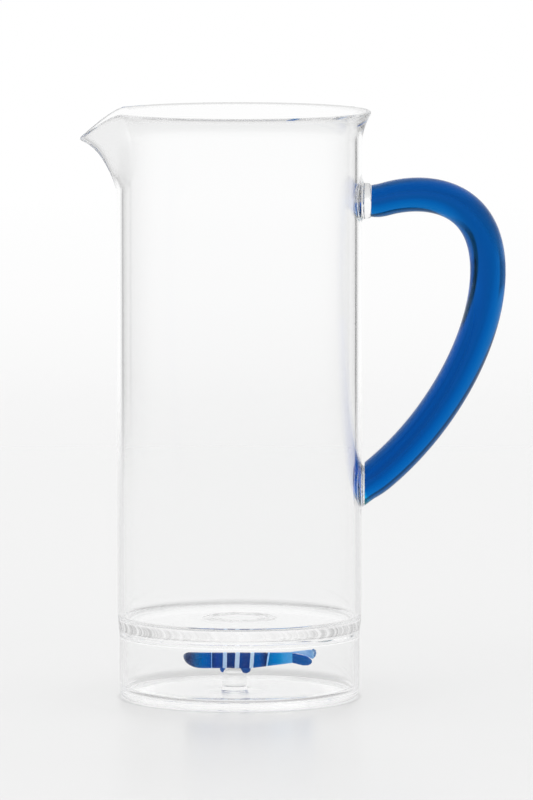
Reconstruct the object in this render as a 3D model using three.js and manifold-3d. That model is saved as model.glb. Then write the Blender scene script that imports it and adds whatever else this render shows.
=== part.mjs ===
// A tall glass jug with a pulled spout, a blue rod handle and a small banded
// glass figure sealed in its foot. Millimetres, +Z up, the origin at the centre
// of the underside, the spout towards -X and the handle towards +X.

import * as THREE from 'three';
import { mergeVertices } from 'three/addons/utils/BufferGeometryUtils.js';
import Module from 'manifold-3d';

const wasm = await Module();
wasm.setup();

// The tall tube
const jugHeight = 252.2; // underside to the top of the rim
const tubeRadius = 52.5;
const tubeWall = 2.7;

// The rim, turned out in the flame
const rimFlare = 3.8;
const rimFlareHeight = 13.1;
const rimFlarePower = 2;

// The spout, pulled out of the rim to a point
const spoutPull = 12.5; // how far the tip is pulled out past the rim
const spoutDrop = 12.1; // how far the tip lies under the rim
const spoutDropPower = 1.55;
const spoutHalfAngle = THREE.MathUtils.degToRad(28); // where the lip starts to fall
const spoutLength = 22.2; // height of the pulled part on the centre line
const spoutNarrowing = 12.1; // how much shorter it is at the shoulders
const spoutTipRounding = 1.6;
const spoutSweepShare = 0.74; // the long sweep's part of the pull, the lip has the rest
const spoutSweepPower = 1.45;
const spoutLipPower = 8;

// The inner floor, a flame-closed tube end with its ring-shaped closing mark
const floorTop = 34;
const floorThickness = 4.2;
const floorFillet = 1.2;
const markOuterRadius = 16.7;
const markInnerRadius = 8.5;
const markHeight = 0.7;
const markRidges = 2;

// The foot, a short closed tube welded under the floor
const footStep = 0.9; // how much narrower the foot is than the tube
const footWall = 2.4;
const weldDepth = 4.7; // floor underside to the top of the skirt
const weldFillet = 4.2;
const weldBulge = 0.3;
const baseThickness = 2.9;
const baseCornerRadius = 2.8;
const baseFilletRadius = 3.2;

// The handle, one round rod bent in the flame
const handleRadius = 7.8;
const handleStandOff = 53.95; // tube's outer skin to the rod's centre line at its widest
const upperJointDepth = 38.7; // top of the rim down to the upper joint
const widestDepth = 30.2; // upper joint down to the widest point
const jointSpan = 122.3; // upper joint down to the lower one
const handleTaper = 0.7; // how much thinner the rod is drawn out towards its upper end
const handleTaperLength = 120;
const upperNeck = 0.3; // what the ends are thinner still, next to the joints
const upperNeckLength = 4;
const lowerNeck = 0.6;
const lowerNeckLength = 8;
const stubLength = 6;
const stubRise = 0.7;
const archStartAngle = THREE.MathUtils.degToRad(16.1);
const archStartShare = 0.425;
const archEndShare = 1.066;
const gripStartShare = 0.335;
const gripEndShare = 0.705;
const gripEndAngle = THREE.MathUtils.degToRad(36.1);

// The clear glass that joins the handle to the wall
const upperPadRadius = 7.7;
const upperPadThickness = 1.1;
const upperPadSpread = 3.8;
const collarLength = 2.7;
const lowerPadHalfWidth = 7.5;
const lowerPadHalfHeight = 8.7;
const lowerPadThickness = 1.2;
const lowerPadSpread = 1.6;
const lowerPadShift = 0.4; // the cut end's middle lies this far under the centre line
const padEdge = 0.35;

// The figure and its stem
const figureStart = -24.2; // tip of the head
const figureAxisHeight = 15.45;
const figureRadius = 3.55;
const headTopLength = 3.8; // from the tip to where the top of the head is level
const headUnderLength = 8; // the same on its underside
const headTipRise = 1.8; // how much higher the tip lies than the body's axis
const taperStart = 29.5; // from the tip of the head to where the body starts to thin
const neckStart = 46.9; // from the tip of the head to the end of the tail's shank
const neckRadius = 2.4;
const neckRise = 1.15; // how much higher the neck lies than the body
const lowerLobeLength = 8.5;
const lowerLobeRadius = 2.2;
const lowerLobeDrop = 1.8;
const upperLobeLength = 9.2;
const upperLobeRadius = 2.1;
const upperLobeRise = 2.6;
const curlRadius = 0.45;
const curlHeight = 4;
const stemCentre = -2.1;
const stemRadius = 5.15;
const stemShoulderRadius = 1.8;
const stemWrap = 0.4; // how far the stem's top reaches up round the body
const stemFootFlare = 0.9;
const stemFootHeight = 2;
const stemFootCoveShares = [0.3, 0.4];
const trailDepth = 0.7;
const trailProud = 0.12;

// White trails round the figure: the place as a share of the way from the tip of the head
// to the neck, the width and the slant as shares of the body's diameter
const trailShares = [
  [0.26, 0.063, 0],
  [0.382, 0.28, 0.03],
  [0.494, 0.324, 0.09],
  [0.629, 0.275, 0.12],
  [0.774, 0.118, 0.166],
];

// Beads of blue glass that fuse the figure to its stem
const smallBeadRadius = 1.5;
const smallBeadInset = 0.3; // from the stem's side in to the bead's middle
const smallBeadDrop = 3.9; // from the figure's axis down to the bead's middle
const largeBeadRadius = 2.6;
const largeBeadInset = 0.8;
const largeBeadDrop = 4.05;
const largeBeadFlatShare = 0.66;

// Fit of curved glass on curved glass, the edge left where a fillet runs out on a flat
// face, and how far cutting tools overrun
const fitGap = 0.3;
const filletLip = 0.35;
const overrun = 5;

// Facets
const ringSides = 60;
const spoutColumnShare = 1.5; // finer columns run this much past the spout's half angle
const spoutColumnAngle = THREE.MathUtils.degToRad(3.5);
const wallColumnAngle = THREE.MathUtils.degToRad(6);
const rodSides = 18;
const rodSteps = 44;
const smallSides = 16;
const threadSides = 8;
const threadSteps = 8;
const headSteps = 6;
const lipSteps = 5;
const filletSteps = 4;
const markStepsPerRidge = 4;

// Values worked out from the sizes above
const tubeInner = tubeRadius - tubeWall;
const footRadius = tubeRadius - footStep;
const footInner = footRadius - footWall;
const floorUnderside = floorTop - floorThickness;
const tubeBottom = floorTop + floorFillet;
const skirtTop = floorUnderside - weldDepth;
const rimSlope = Math.atan(rimFlarePower * rimFlare / rimFlareHeight);
const rimEdge = jugHeight - tubeWall / 2 * (1 + Math.sin(rimSlope));
const rimRadius = tubeRadius + rimFlare;
const spoutReach = rimRadius + spoutPull;
const straightTop = rimEdge - spoutDrop - spoutLength;
const spoutColumnSpan = spoutHalfAngle * spoutColumnShare;
const handleReach = tubeRadius + handleStandOff;
const handleEndRadius = handleRadius - lowerNeck;
const upperJointHeight = jugHeight - upperJointDepth;
const widestHeight = upperJointHeight - widestDepth;
const lowerJointHeight = upperJointHeight - jointSpan;
const neckStartX = figureStart + neckStart;
const tailHeight = figureAxisHeight + neckRise;
const trails = trailShares.map(([along, across, slant], i) => ({
  name: `white_trail_${i + 1}`,
  at: neckStart * along,
  width: 2 * figureRadius * across,
  slant: 2 * figureRadius * slant,
}));

const clearGlass = new THREE.MeshStandardMaterial({
  color: 0xeef4f3, roughness: 0.03, metalness: 0, transparent: true, opacity: 0.35,
});
const handleGlass = new THREE.MeshStandardMaterial({
  color: 0x0a50a0, roughness: 0.04, metalness: 0, transparent: true, opacity: 0.9,
});
const figureBlue = new THREE.MeshStandardMaterial({ color: 0x1050a0, roughness: 0.08, metalness: 0 });
const figureNavy = new THREE.MeshStandardMaterial({ color: 0x323c68, roughness: 0.12, metalness: 0 });
const figureSky = new THREE.MeshStandardMaterial({ color: 0x3a90c8, roughness: 0.08, metalness: 0 });
const figurePale = new THREE.MeshStandardMaterial({ color: 0x74a0c0, roughness: 0.08, metalness: 0 });
const trailWhite = new THREE.MeshStandardMaterial({ color: 0xd6dce2, roughness: 0.2, metalness: 0 });

// Flips a closed geometry whose faces point inwards, so that all point outwards
function facingOut(geometry) {
  const position = geometry.getAttribute('position');
  const index = geometry.getIndex();
  const a = new THREE.Vector3();
  const b = new THREE.Vector3();
  const c = new THREE.Vector3();
  let volume = 0;
  for (let i = 0; i < index.count; i += 3) {
    a.fromBufferAttribute(position, index.getX(i));
    b.fromBufferAttribute(position, index.getX(i + 1));
    c.fromBufferAttribute(position, index.getX(i + 2));
    volume += a.dot(b.cross(c));
  }
  if (volume < 0) {
    const order = index.array;
    for (let i = 0; i < order.length; i += 3) {
      [order[i], order[i + 1]] = [order[i + 1], order[i]];
    }
  }
  return geometry;
}

// Closed skin through loops of points, capped at both ends or joined end to start
function skin(loops, capped) {
  const count = loops[0].length;
  const positions = [];
  const faces = [];
  loops.forEach((loop) => loop.forEach((point) => positions.push(point.x, point.y, point.z)));
  const bands = capped ? loops.length - 1 : loops.length;
  for (let i = 0; i < bands; i += 1) {
    const here = i * count;
    const there = ((i + 1) % loops.length) * count;
    for (let j = 0; j < count; j += 1) {
      const next = (j + 1) % count;
      faces.push(here + j, here + next, there + j);
      faces.push(here + next, there + next, there + j);
    }
  }
  if (capped) {
    for (const end of [0, loops.length - 1]) {
      const middle = new THREE.Vector3();
      loops[end].forEach((point) => middle.addScaledVector(point, 1 / count));
      const hub = positions.length / 3;
      positions.push(middle.x, middle.y, middle.z);
      for (let j = 0; j < count; j += 1) {
        const from = end * count + j;
        const to = end * count + (j + 1) % count;
        faces.push(...(end === 0 ? [to, from, hub] : [from, to, hub]));
      }
    }
  }
  const geometry = new THREE.BufferGeometry();
  geometry.setAttribute('position', new THREE.Float32BufferAttribute(positions, 3));
  geometry.setIndex(faces);
  return facingOut(geometry);
}

// Points of an arc in a profile, from one angle to another, both in degrees
function arc(centreX, centreY, radius, fromDegrees, toDegrees, steps) {
  const points = [];
  for (let i = 0; i <= steps; i += 1) {
    const angle = THREE.MathUtils.degToRad(fromDegrees + (toDegrees - fromDegrees) * i / steps);
    points.push([centreX + radius * Math.cos(angle), centreY + radius * Math.sin(angle)]);
  }
  return points;
}

// Solid of revolution about the Z axis from a profile of radius and height
function turned(profile, sides) {
  const lathe = new THREE.LatheGeometry(profile.map(([r, h]) => new THREE.Vector2(r, h)), sides);
  lathe.rotateX(Math.PI / 2);
  lathe.deleteAttribute('normal');
  lathe.deleteAttribute('uv');
  return facingOut(mergeVertices(lathe));
}

function toSolid(geometry) {
  const plain = new THREE.BufferGeometry();
  plain.setAttribute('position', geometry.getAttribute('position').clone());
  plain.setIndex(geometry.getIndex().clone());
  const merged = mergeVertices(plain);
  const vertProperties = new Float32Array(merged.getAttribute('position').array);
  const triVerts = new Uint32Array(merged.getIndex().array);
  return new wasm.Manifold(new wasm.Mesh({ numProp: 3, vertProperties, triVerts }));
}

function toGeometry(solid) {
  const mesh = solid.getMesh();
  const geometry = new THREE.BufferGeometry();
  geometry.setAttribute('position', new THREE.Float32BufferAttribute(mesh.vertProperties, 3));
  geometry.setIndex(Array.from(mesh.triVerts));
  return geometry;
}

// Fillet between a flat floor and the wall round it, from its edge on the floor to the wall,
// rising from the floor where side is 1 and hanging from it where side is -1
function cove(wallRadius, floorHeight, fillet, side) {
  const lipDegrees = THREE.MathUtils.radToDeg(Math.asin(1 - filletLip / fillet));
  const points = arc(
    wallRadius - fillet, floorHeight + side * fillet, fillet, -side * lipDegrees, 0, filletSteps,
  );
  return [[points[0][0], floorHeight], ...points];
}

// Radius of the outer skin where the tube was drawn in and closed, down to the foot
function closingSkin(height) {
  return footRadius + footStep * (height - floorUnderside) / (tubeBottom - floorUnderside);
}

// Radius of the tube's outer skin at a height, without the spout
function tubeSkin(height) {
  const climb = THREE.MathUtils.clamp((height - rimEdge + rimFlareHeight) / rimFlareHeight, 0, 1);
  return tubeRadius + rimFlare * climb ** rimFlarePower;
}

// Angle from the spout's direction, eased at the tip so that its edge is rounded
function easedAngle(angle) {
  return Math.hypot(angle, spoutTipRounding / spoutReach);
}

// Outer skin's radius along the lip: two straight sides that leave the rim as tangents
function lipRadius(angle) {
  const tangentAngle = Math.acos(rimRadius / spoutReach);
  return rimRadius / Math.cos(Math.max(0, tangentAngle - easedAngle(angle)));
}

function lipHeight(angle) {
  const left = Math.max(0, 1 - easedAngle(angle) / spoutHalfAngle);
  return rimEdge - spoutDrop * left ** spoutDropPower;
}

// One upright section of the rim or the spout, a closed loop of radius and height
function rimSection(angle) {
  const top = lipHeight(angle);
  const pull = lipRadius(angle) - tubeSkin(top);
  const offCentre = Math.min(1, Math.abs(angle) / spoutHalfAngle);
  const root = straightTop + spoutNarrowing * offCentre ** 2;
  const outerRadius = (height) => {
    const climb = THREE.MathUtils.clamp((height - root) / (top - root), 0, 1);
    const sweep = spoutSweepShare * climb ** spoutSweepPower;
    const lip = (1 - spoutSweepShare) * climb ** spoutLipPower;
    return tubeSkin(height) + pull * (sweep + lip);
  };
  const rowShares = [0, 0.17, 0.34, 0.5, 0.64, 0.77, 0.88, 1];
  const heights = rowShares.map((share) => straightTop + (top - straightTop) * share);
  const slopeStep = tubeWall / 100;
  const outer = heights.map((height) => {
    const lean = Math.atan((outerRadius(height) - outerRadius(height - slopeStep)) / slopeStep);
    return { radius: outerRadius(height), height, lean };
  });
  const outside = outer.map((point) => [point.radius, point.height]);
  const inside = outer.map((point) => [
    point.radius - tubeWall * Math.cos(point.lean),
    point.height + tubeWall * Math.sin(point.lean),
  ]);
  const edge = outer[outer.length - 1];
  const lean = THREE.MathUtils.radToDeg(edge.lean);
  const middle = [
    edge.radius - tubeWall / 2 * Math.cos(edge.lean),
    edge.height + tubeWall / 2 * Math.sin(edge.lean),
  ];
  const lip = arc(middle[0], middle[1], tubeWall / 2, -lean, 180 - lean, lipSteps).slice(1, -1);
  return [...outside, ...lip, ...inside.reverse()];
}

function columnAngles() {
  const spoutColumns = Math.round(2 * spoutColumnSpan / spoutColumnAngle);
  const wallColumns = Math.round((2 * Math.PI - 2 * spoutColumnSpan) / wallColumnAngle);
  const angles = [];
  for (let i = 0; i < spoutColumns; i += 1) {
    angles.push(-spoutColumnSpan + 2 * spoutColumnSpan * i / spoutColumns);
  }
  for (let i = 0; i < wallColumns; i += 1) {
    angles.push(spoutColumnSpan + (2 * Math.PI - 2 * spoutColumnSpan) * i / wallColumns);
  }
  return angles;
}

// Flared rim with the spout, from the top of the straight tube up
function spoutRim() {
  const loops = columnAngles().map((angle) => {
    const fromSpout = angle > Math.PI ? angle - 2 * Math.PI : angle;
    return rimSection(fromSpout).map(([radius, height]) => new THREE.Vector3(
      -radius * Math.cos(angle), radius * Math.sin(angle), height,
    ));
  });
  return skin(loops, false);
}

// Straight tube, from the inner floor up to where the rim starts to turn out
function vesselWall() {
  const profile = [
    ...cove(tubeInner, floorTop, floorFillet, 1),
    [tubeInner, straightTop],
    [tubeRadius, straightTop],
    [tubeRadius, tubeBottom],
    [closingSkin(floorTop), floorTop],
  ];
  profile.push(profile[0]);
  return turned(profile, ringSides);
}

// Height of the flame-closed mark over the floor, two low ridges and their valley
function markRelief(radius) {
  const across = (radius - markInnerRadius) / (markOuterRadius - markInnerRadius);
  return markHeight * Math.sin(Math.PI * markRidges * across) ** 2;
}

function vesselFloor() {
  const markSteps = markStepsPerRidge * markRidges;
  const profile = [
    [0, floorUnderside],
    [footRadius, floorUnderside],
    [closingSkin(floorTop), floorTop],
  ];
  for (let i = 0; i <= markSteps; i += 1) {
    const radius = markOuterRadius + (markInnerRadius - markOuterRadius) * i / markSteps;
    profile.push([radius, floorTop + markRelief(radius)]);
  }
  profile.push([0, floorTop]);
  return turned(profile, ringSides);
}

function weldRing() {
  const profile = [
    ...cove(footInner, floorUnderside, Math.min(weldFillet, weldDepth), -1),
    [footInner, skirtTop],
    [footRadius, skirtTop],
    [footRadius + weldBulge, (skirtTop + floorUnderside) / 2],
    [footRadius, floorUnderside],
  ];
  profile.push(profile[0]);
  return turned(profile, ringSides);
}

function baseSkirt() {
  const profile = [
    ...cove(footInner, baseThickness, Math.min(baseFilletRadius, skirtTop - baseThickness), 1),
    [footInner, skirtTop],
    [footRadius, skirtTop],
    [footRadius, baseThickness],
  ];
  profile.push(profile[0]);
  return turned(profile, ringSides);
}

function baseDisc() {
  const corner = Math.min(baseCornerRadius, baseThickness);
  const profile = [
    [0, 0],
    ...arc(footRadius - corner, corner, corner, -90, 0, filletSteps),
    [footRadius, baseThickness],
    [0, baseThickness],
  ];
  return turned(profile, ringSides);
}

// Centre line of the handle, in the plane of the spout and the handle
function handlePath() {
  const start = new THREE.Vector3(tubeRadius + upperPadThickness + collarLength, 0, upperJointHeight);
  const stubEnd = new THREE.Vector3(start.x + stubLength, 0, start.z + stubRise);
  const widest = new THREE.Vector3(handleReach, 0, widestHeight);
  const end = new THREE.Vector3(tubeRadius + lowerPadThickness, 0, lowerJointHeight);
  const forward = new THREE.Vector3(Math.cos(archStartAngle), 0, Math.sin(archStartAngle));
  const down = new THREE.Vector3(0, 0, -1);
  const outward = new THREE.Vector3(Math.cos(gripEndAngle), 0, Math.sin(gripEndAngle));
  const archSpan = widest.x - stubEnd.x;
  const archDrop = stubEnd.z - widest.z;
  const gripDrop = widest.z - end.z;
  const gripSpan = widest.x - end.x;
  const path = new THREE.CurvePath();
  path.add(new THREE.QuadraticBezierCurve3(
    start,
    stubEnd.clone().addScaledVector(forward, -stubLength / 2),
    stubEnd,
  ));
  path.add(new THREE.CubicBezierCurve3(
    stubEnd,
    stubEnd.clone().addScaledVector(forward, archSpan * archStartShare),
    widest.clone().addScaledVector(down, -archDrop * archEndShare),
    widest,
  ));
  path.add(new THREE.CubicBezierCurve3(
    widest,
    widest.clone().addScaledVector(down, gripDrop * gripStartShare),
    end.clone().addScaledVector(outward, gripSpan * gripEndShare),
    end,
  ));
  return { path, end, outward };
}

// Circle of a rod round a point of its centre line, square to its direction
function rodRing(point, direction, radius, sides) {
  const across = new THREE.Vector3(0, 1, 0);
  const up = new THREE.Vector3().crossVectors(direction, across).normalize();
  const ring = [];
  for (let i = 0; i < sides; i += 1) {
    const angle = 2 * Math.PI * i / sides;
    ring.push(point.clone()
      .addScaledVector(across, radius * Math.cos(angle))
      .addScaledVector(up, radius * Math.sin(angle)));
  }
  return ring;
}

// What a neck takes off the radius at a distance from its end of the rod
function necking(depth, length, distance) {
  return depth * (1 - Math.min(1, distance / length)) ** 2;
}

// Radius of the rod at a distance along it
function rodRadius(distance, length) {
  return handleRadius
    - necking(handleTaper, handleTaperLength, distance)
    - necking(upperNeck, upperNeckLength, distance)
    - necking(lowerNeck, lowerNeckLength, length - distance);
}

function handle() {
  const { path, end, outward } = handlePath();
  const length = path.getLength();
  const rings = [];
  for (let i = 0; i <= rodSteps; i += 1) {
    const along = i / rodSteps;
    const point = path.getPointAt(along);
    const direction = i === 0 ? new THREE.Vector3(1, 0, 0) : path.getTangentAt(along);
    rings.push(rodRing(point, direction, rodRadius(along * length, length), rodSides));
  }
  const past = end.clone().addScaledVector(outward, -2 * handleRadius);
  rings.push(rodRing(past, outward.clone().negate(), handleEndRadius, rodSides));
  const rod = toSolid(skin(rings, true));
  const cutSize = 4 * handleRadius;
  const cutter = new THREE.BoxGeometry(cutSize, cutSize, cutSize);
  cutter.deleteAttribute('normal');
  cutter.deleteAttribute('uv');
  cutter.translate(end.x - cutSize / 2, 0, end.z);
  return toGeometry(rod.subtract(toSolid(cutter)));
}

// Clear pad between the wall and a flat face, spreading on to the wall all round
function wallPad(height, halfWidth, halfHeight, thickness, spread) {
  const face = tubeRadius + thickness;
  const seat = (y) => Math.sqrt((tubeRadius + fitGap) ** 2 - y ** 2);
  const loop = (grow, depth) => {
    const points = [];
    for (let i = 0; i < rodSides; i += 1) {
      const angle = 2 * Math.PI * i / rodSides;
      const y = (halfWidth + grow) * Math.cos(angle);
      const z = height + (halfHeight + grow) * Math.sin(angle);
      const wall = seat(y);
      points.push(new THREE.Vector3(wall + (face - wall) * depth, y, z));
    }
    return points;
  };
  const edgeDepth = padEdge / thickness;
  const coveShares = [[0, 1], [0.15, 0.68], [0.4, 0.4], [0.7, 0.27]];
  const loops = coveShares.map(([out, depth]) => loop(spread * out, Math.max(depth, edgeDepth)));
  loops.push(loop(spread, edgeDepth / 2));
  loops.push(loop(spread, 0));
  loops.push(loop(0, 0));
  loops.push(loop(-Math.min(halfWidth, halfHeight) / 2, 0));
  return skin(loops, true);
}

// Clear stub between the upper pad's face and the rod
function upperCollar() {
  const barrelShares = [[0, 1], [0.3, 1], [0.7, 0.94], [1, 0.88]];
  const start = tubeRadius + upperPadThickness;
  const rings = barrelShares.map(([along, width]) => rodRing(
    new THREE.Vector3(start + collarLength * along, 0, upperJointHeight),
    new THREE.Vector3(1, 0, 0), upperPadRadius * width, rodSides,
  ));
  return skin(rings, true);
}

// How far a place on the figure lies along its taper, from 0 on the body to 1 at the neck
function alongTaper(distance) {
  return THREE.MathUtils.clamp((distance - taperStart) / (neckStart - taperStart), 0, 1);
}

function figureRadiusAt(distance) {
  return figureRadius + (neckRadius - figureRadius) * alongTaper(distance);
}

function figureCentreAt(distance) {
  return figureAxisHeight + neckRise * alongTaper(distance);
}

// Upright oval round a point of the figure, leaning along X by a slant
function figureOval(x, height, halfWidth, halfHeight, slant) {
  const ring = [];
  for (let i = 0; i < smallSides; i += 1) {
    const angle = 2 * Math.PI * i / smallSides;
    const rise = halfHeight * Math.sin(angle);
    const lean = slant * rise / (2 * figureRadius);
    ring.push(new THREE.Vector3(x + lean, halfWidth * Math.cos(angle), height + rise));
  }
  return ring;
}

// Figure's own section at a distance from the tip of its head, grown by an amount
function figureRing(distance, growth, slant) {
  const radius = figureRadiusAt(distance) + growth;
  return figureOval(figureStart + distance, figureCentreAt(distance), radius, radius, slant);
}

// Body without its grooves, grown all round, for cutting what touches it
function figureEnvelope(growth) {
  const distances = [headUnderLength, taperStart, neckStart, neckStart + overrun];
  return toSolid(skin(distances.map((distance) => figureRing(distance, growth, 0)), true));
}

// Height of a quarter ellipse, from 0 at its tip to 1 where it runs level
function quarterRound(along) {
  return Math.sqrt(1 - (1 - Math.min(1, along)) ** 2);
}

// Blunt nose, its top rounded more tightly than its underside
function figureHead() {
  const rings = [];
  for (let i = 1; i <= headSteps; i += 1) {
    const distance = headUnderLength * (1 - Math.cos(Math.PI / 2 * i / headSteps));
    const topRound = quarterRound(distance / headTopLength);
    const top = headTipRise + (figureRadius - headTipRise) * topRound;
    const under = headTipRise - (figureRadius + headTipRise) * quarterRound(distance / headUnderLength);
    rings.push(figureOval(
      figureStart + distance, figureAxisHeight + (top + under) / 2,
      figureRadius * topRound, (top - under) / 2, 0,
    ));
  }
  return skin(rings, true);
}

// Blue rod of the body with a groove for each trail; it ends inside the last one
function figureBody() {
  const last = trails[trails.length - 1];
  const rings = [figureRing(headUnderLength, 0, 0)];
  for (const trail of trails) {
    const left = trail.at - trail.width / 2;
    const right = trail.at + trail.width / 2;
    rings.push(figureRing(left, 0, trail.slant));
    rings.push(figureRing(left, -trailDepth - fitGap, trail.slant));
    rings.push(figureRing(right, -trailDepth - fitGap, trail.slant));
    if (trail !== last) {
      rings.push(figureRing(right, 0, trail.slant));
    }
  }
  return skin(rings, true);
}

// White trail wound round the body, its sides flat against its groove's
function whiteTrail(trail) {
  const left = trail.at - trail.width / 2;
  const right = trail.at + trail.width / 2;
  return skin([
    figureRing(left, -trailDepth, trail.slant),
    figureRing(left, 0, trail.slant),
    figureRing(trail.at, trailProud, trail.slant),
    figureRing(right, 0, trail.slant),
    figureRing(right, -trailDepth, trail.slant),
  ], false);
}

// Thinning shank between the last trail and the lobes
function tailShank() {
  const last = trails[trails.length - 1];
  const start = last.at + last.width / 2;
  return skin([
    figureRing(start, 0, last.slant),
    figureRing((start + neckStart) / 2, 0, 0),
    figureRing(neckStart, 0, 0),
  ], true);
}

// Lower lobe of the tail, grown by an amount all round
function lowerLobe(growth) {
  const sectionShares = [
    [0, 0.95, 0.15], [0.12, 1, 0.25], [0.35, 1.02, 0.5], [0.58, 1.02, 0.72],
    [0.78, 0.85, 0.9], [0.92, 0.55, 1], [1, 0.2, 1],
  ];
  const rings = sectionShares.map(([along, size, drop]) => {
    const radius = lowerLobeRadius * size + growth;
    const x = neckStartX + lowerLobeLength * along;
    return figureOval(x, tailHeight - lowerLobeDrop * drop, radius, radius, 0);
  });
  return skin(rings, true);
}

// Upper lobe, a flatter tongue that lies on the lower one and hangs over its end
function upperLobe() {
  const sectionShares = [
    [0, 0.55, 0.2, 0.9], [0.25, 0.7, 0.3, 0.9], [0.5, 0.8, 0.5, 0.85],
    [0.75, 0.75, 0.8, 0.7], [0.93, 0.6, 1, 0.55], [1, 0.4, 0.8, 0.5],
  ];
  const rings = sectionShares.map(([along, width, size, rise]) => figureOval(
    neckStartX + upperLobeLength * along,
    tailHeight + upperLobeRise * rise,
    upperLobeRadius * width, upperLobeRadius * size, 0,
  ));
  return toGeometry(toSolid(skin(rings, true)).subtract(toSolid(lowerLobe(fitGap))));
}

// Clear rim of the tail's tip, a short bent thread of glass
function tailCurl() {
  const end = neckStartX + upperLobeLength + fitGap + curlRadius;
  const top = tailHeight + upperLobeRise + upperLobeRadius / 2;
  const bendShares = [[0, 0], [0.9, 0.15], [1, 0.5], [0.4, 1]];
  const curve = new THREE.CatmullRomCurve3(bendShares.map(([out, down]) => new THREE.Vector3(
    end + 2 * curlRadius * out, 0, top - curlHeight * down,
  )));
  const rings = [];
  for (let i = 0; i <= threadSteps; i += 1) {
    const along = i / threadSteps;
    rings.push(rodRing(curve.getPointAt(along), curve.getTangentAt(along), curlRadius, threadSides));
  }
  return skin(rings, true);
}

// Bead of blue glass, grown by an amount, before its neighbours are cut from it
function beadBlank(radius, flatShare, inset, drop, side, growth) {
  const bead = new THREE.SphereGeometry(radius + growth, smallSides, smallSides / 2);
  bead.deleteAttribute('normal');
  bead.deleteAttribute('uv');
  bead.scale(1, 1, flatShare);
  bead.translate(stemCentre + side * (stemRadius - inset), 0, figureAxisHeight - drop);
  return toSolid(facingOut(mergeVertices(bead)));
}

function smallBead(growth) {
  return beadBlank(smallBeadRadius, 1, smallBeadInset, smallBeadDrop, -1, growth);
}

function largeBead(growth) {
  return beadBlank(largeBeadRadius, largeBeadFlatShare, largeBeadInset, largeBeadDrop, 1, growth);
}

// Clear stem with a flared foot and a rounded shoulder, hollowed to the body's shape
function figureStem() {
  const top = figureAxisHeight - figureRadius + stemWrap;
  const [coveOut, coveUp] = stemFootCoveShares;
  const shoulder = stemShoulderRadius;
  const profile = [
    [0, baseThickness],
    [stemRadius + stemFootFlare, baseThickness],
    [stemRadius + stemFootFlare * coveOut, baseThickness + stemFootHeight * coveUp],
    [stemRadius, baseThickness + stemFootHeight],
    ...arc(stemRadius - shoulder, top - shoulder, shoulder, 0, 90, filletSteps),
    [0, top],
  ];
  const stem = turned(profile, rodSides);
  stem.translate(stemCentre, 0, 0);
  return toGeometry(toSolid(stem)
    .subtract(figureEnvelope(fitGap))
    .subtract(smallBead(fitGap))
    .subtract(largeBead(fitGap)));
}

const pieces = [
  ['spout_rim', spoutRim(), clearGlass],
  ['vessel_wall', vesselWall(), clearGlass],
  ['vessel_floor', vesselFloor(), clearGlass],
  ['weld_ring', weldRing(), clearGlass],
  ['base_skirt', baseSkirt(), clearGlass],
  ['base_disc', baseDisc(), clearGlass],
  ['handle', handle(), handleGlass],
  ['upper_pad', wallPad(
    upperJointHeight, upperPadRadius, upperPadRadius, upperPadThickness, upperPadSpread,
  ), clearGlass],
  ['upper_collar', upperCollar(), clearGlass],
  ['lower_pad', wallPad(
    lowerJointHeight - lowerPadShift, lowerPadHalfWidth, lowerPadHalfHeight,
    lowerPadThickness, lowerPadSpread,
  ), clearGlass],
  ['figure_stem', figureStem(), clearGlass],
  ['figure_head', figureHead(), figureNavy],
  ['figure_body', figureBody(), figureBlue],
  ...trails.map((trail) => [trail.name, whiteTrail(trail), trailWhite]),
  ['tail_shank', tailShank(), figureSky],
  ['tail_lower_lobe', lowerLobe(0), figureBlue],
  ['tail_upper_lobe', upperLobe(), figurePale],
  ['tail_curl', tailCurl(), clearGlass],
  ['small_bead', toGeometry(smallBead(0).subtract(figureEnvelope(fitGap))), figureBlue],
  ['large_bead', toGeometry(largeBead(0).subtract(figureEnvelope(fitGap))), figureBlue],
];

const jug = new THREE.Group();
for (const [name, geometry, material] of pieces) {
  const mesh = new THREE.Mesh(geometry, material);
  mesh.name = name;
  jug.add(mesh);
}

export default jug;
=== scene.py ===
# A glass carafe with a pulled spout, a blue rod handle and a small banded glass
# figure sealed in its foot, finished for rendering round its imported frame.

import math

import bpy
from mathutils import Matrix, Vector, noise


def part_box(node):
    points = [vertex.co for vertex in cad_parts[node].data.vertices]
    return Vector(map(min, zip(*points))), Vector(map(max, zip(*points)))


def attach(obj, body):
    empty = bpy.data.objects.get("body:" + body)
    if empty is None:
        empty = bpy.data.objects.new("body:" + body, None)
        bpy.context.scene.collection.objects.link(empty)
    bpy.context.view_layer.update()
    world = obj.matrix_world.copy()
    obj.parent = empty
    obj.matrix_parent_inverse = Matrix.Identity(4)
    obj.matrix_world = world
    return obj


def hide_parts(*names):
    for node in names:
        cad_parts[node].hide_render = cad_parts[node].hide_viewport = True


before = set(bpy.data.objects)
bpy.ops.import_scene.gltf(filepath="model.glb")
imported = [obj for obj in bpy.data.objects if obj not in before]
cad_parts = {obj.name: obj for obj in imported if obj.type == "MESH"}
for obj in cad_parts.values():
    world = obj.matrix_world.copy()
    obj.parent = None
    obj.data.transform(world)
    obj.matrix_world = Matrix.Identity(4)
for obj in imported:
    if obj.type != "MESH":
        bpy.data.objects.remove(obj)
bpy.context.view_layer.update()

MM = 0.001

# Sizes that the frame gives, in millimetres
base_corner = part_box("base_disc")[1]
collar_low, collar_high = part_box("upper_collar")
seat_low, seat_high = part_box("lower_pad")

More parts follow.
